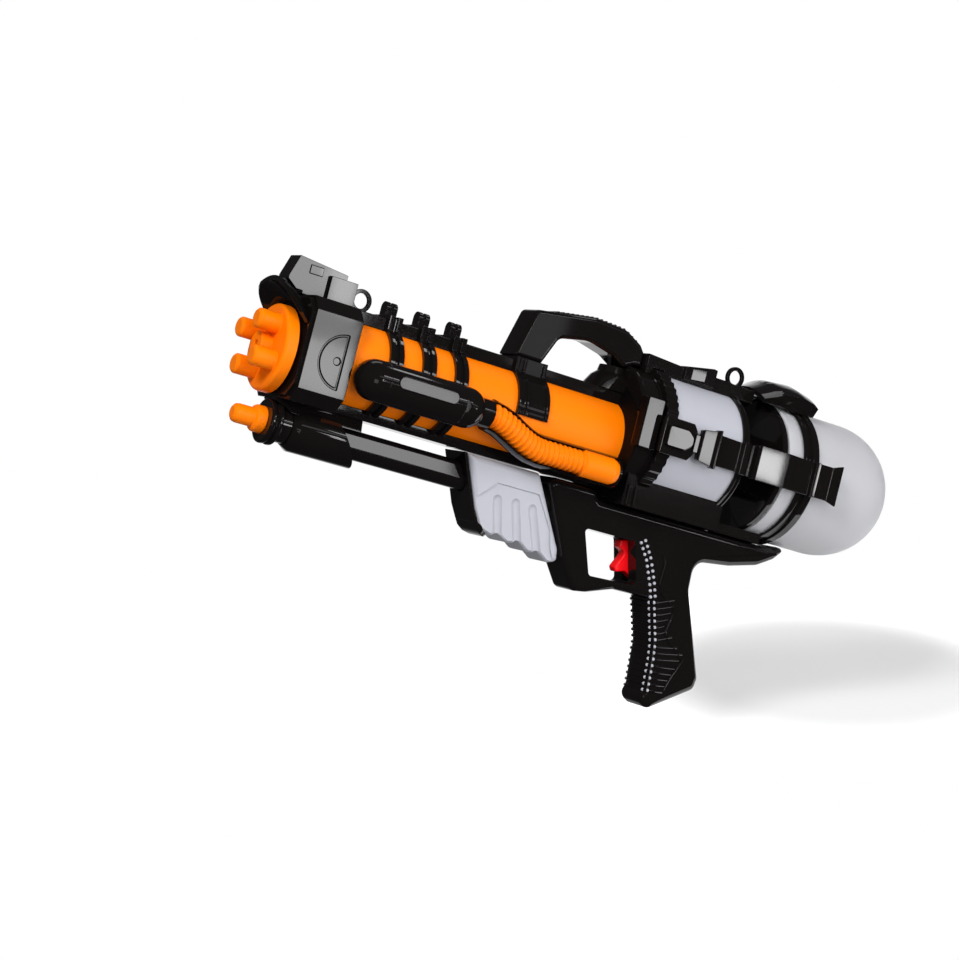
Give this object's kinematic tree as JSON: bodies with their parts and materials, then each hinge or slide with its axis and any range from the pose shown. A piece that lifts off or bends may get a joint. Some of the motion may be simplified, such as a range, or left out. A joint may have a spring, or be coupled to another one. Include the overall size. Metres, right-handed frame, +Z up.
{
  "type": "pump-action water squirter",
  "caption": "Toy water squirter with a sliding pump grip, sprung trigger valve, turning nozzle head and round twist-off water tank.",
  "frame": {"origin": "middle of the pistol grip, in the plane between the two halves", "axes": "-X points out of the nozzle, +Z up, and the side seen in the picture faces -Y"},
  "size_m": [0.6724, 0.152, 0.3241],
  "materials": {
    "black_plastic": "glossy moulded",
    "orange_plastic": "glossy moulded",
    "grey_plastic": "satin moulded",
    "red_plastic": "glossy moulded",
    "frosted_plastic": "frosted translucent",
    "seal_rubber": "smooth",
    "steel": "drawn wire and turned"
  },
  "bodies": {
    "frame": {"front_block": "black_plastic", "hood": "black_plastic", "sight": "black_plastic", "sling_eye_front": "black_plastic", "sling_eye_rear": "black_plastic", "barrel_left": "orange_plastic", "barrel_right": "orange_plastic", "top_rail": "black_plastic", "bottom_rail": "black_plastic", "band_1": "black_plastic", "band_2": "black_plastic", "band_3": "black_plastic", "wide_strap": "black_plastic", "carry_handle": "black_plastic", "handle_post": "black_plastic", "canister_left": "black_plastic", "canister_right": "black_plastic", "hose_left": "orange_plastic", "hose_right": "orange_plastic", "hose_tray_left": "black_plastic", "hose_tray_right": "black_plastic", "nose_plug": "orange_plastic", "nose_collar": "black_plastic", "sleeve": "black_plastic", "pump_tube": "black_plastic", "valve_head": "grey_plastic", "body_left": "black_plastic", "body_right": "black_plastic", "body_screws": "steel", "saddle": "black_plastic", "trigger_pin": "steel", "valve_body": "grey_plastic", "valve_spring": "steel", "jet_tube": "frosted_plastic", "bulkheads": "black_plastic", "pressure_chamber": "frosted_plastic", "water_tubes": "frosted_plastic", "collar": "black_plastic", "knurled_ring": "black_plastic", "drum": "grey_plastic", "drum_rim": "black_plastic", "spine": "black_plastic", "cowl": "black_plastic", "tank_socket": "black_plastic", "tank_ring": "black_plastic", "side_strap_left": "black_plastic", "side_strap_right": "black_plastic", "tank_gasket": "seal_rubber"},
    "pump": {"pump_grip_left": "grey_plastic", "pump_grip_right": "grey_plastic", "pump_collar": "black_plastic", "drive_pin": "steel", "piston_rod": "steel", "piston": "grey_plastic", "piston_seal": "seal_rubber"},
    "trigger": {"trigger": "red_plastic"},
    "plunger": {"valve_plunger": "steel"},
    "nozzle": {"nozzle_head": "orange_plastic", "nozzle_seal": "seal_rubber"},
    "tank": {"tank": "frosted_plastic"}
  },
  "joints": [
    {"name": "pump_slide", "type": "slide", "parent": "frame", "child": "pump", "axis": [-1, 0, 0], "range_m": [0, 0.08]},
    {"name": "trigger_pull", "type": "hinge", "parent": "frame", "child": "trigger", "pos_m": [-0.052, 0, 0.0815], "axis": [0, -1, 0], "range_deg": [0, 12], "stiffness_Nm_per_rad": 0.3, "springref_deg": -11.46},
    {"name": "plunger_slide", "type": "slide", "parent": "frame", "child": "plunger", "axis": [1, 0, 0], "range_m": [0, 0.007], "deforming": ["valve_spring"]},
    {"name": "nozzle_turn", "type": "hinge", "parent": "frame", "child": "nozzle", "pos_m": [-0.4394, 0, 0.1465], "axis": [-1, 0, 0], "range_deg": [0, 90]},
    {"name": "tank_twist", "type": "hinge", "parent": "frame", "child": "tank", "pos_m": [0.05, 0, 0.1675], "axis": [1, 0, 0], "range_deg": [0, 60]}
  ],
  "couplings": [
    {"joint": "plunger_slide", "follows": "trigger_pull", "m_per_rad": 0.031}
  ]
}
